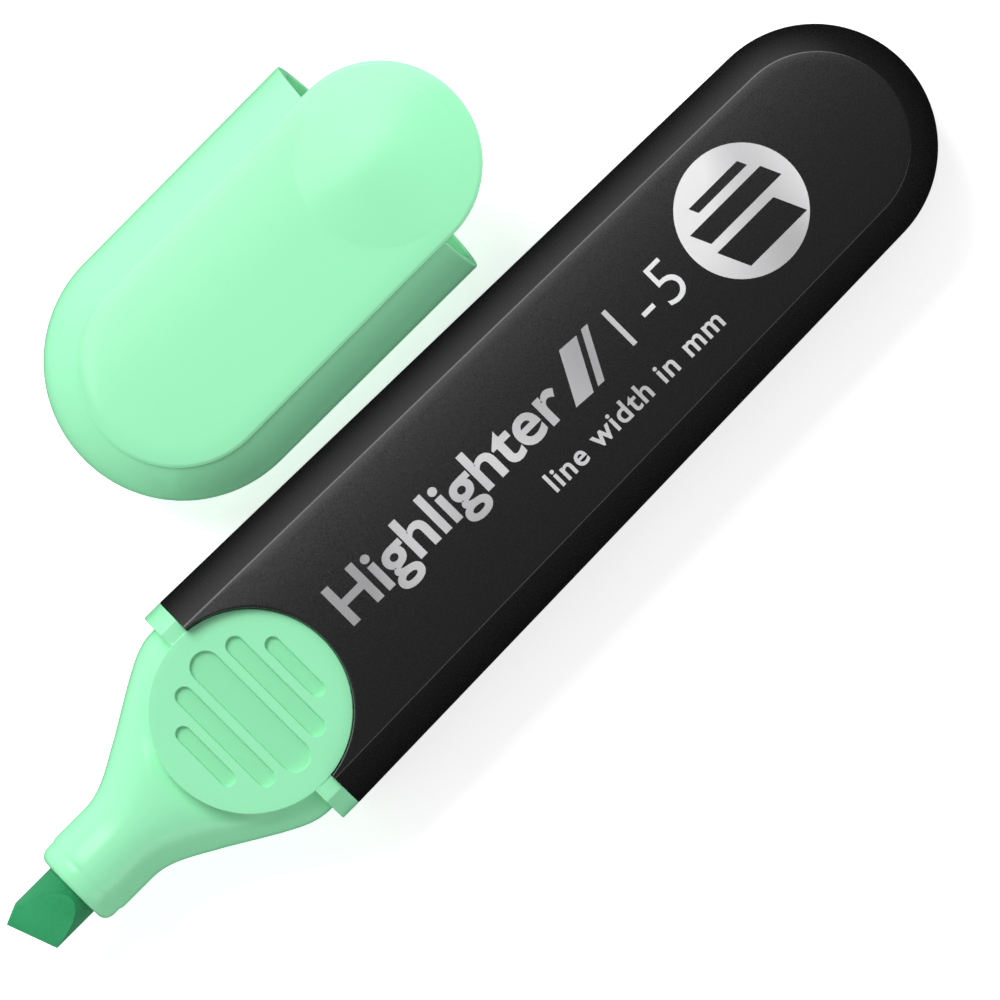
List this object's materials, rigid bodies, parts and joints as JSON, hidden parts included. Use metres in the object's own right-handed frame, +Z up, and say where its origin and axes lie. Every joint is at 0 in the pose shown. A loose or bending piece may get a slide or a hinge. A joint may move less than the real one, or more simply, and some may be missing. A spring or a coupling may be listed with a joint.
{
  "type": "highlighter",
  "caption": "Wide flat highlighter with a chisel nib, a flared front section with coin pads, and its pull-off cap lying beside it.",
  "frame": {"origin": "on the table, under the pen's axis, midway between the nib's tip and the barrel's rear end; the pen and its cap lie flat", "axes": "+X along the pen towards the barrel's rear end, the nib towards -X; +Y towards the loose cap; +Z up, out of the pen's wide face"},
  "size_m": [0.1132, 0.0525, 0.0173],
  "materials": {
    "black_shell": "satin moulded polypropylene with a fine eroded grain",
    "mint_shell": "semi-gloss moulded polypropylene",
    "felt_nib": "ground bonded polyester fibre, ink soaked",
    "ink_fibre": "loose bonded fibre, ink soaked",
    "clear_film": "thin clear film",
    "natural_liner": "natural polyethylene",
    "silver_print": "hot-foil silver print"
  },
  "bodies": {
    "pen": {"barrel": "black_shell", "front_section": "mint_shell", "nib": "felt_nib", "reservoir_core": "ink_fibre", "reservoir_wrap": "clear_film"},
    "cap": {"cap_shell": "mint_shell", "cap_inner_sleeve": "natural_liner"}
  },
  "joints": [
    {"name": "cap_pull", "type": "slide", "parent": "pen", "child": "cap", "axis": [-1, 0, 0], "range_m": [0, 0.083]}
  ]
}
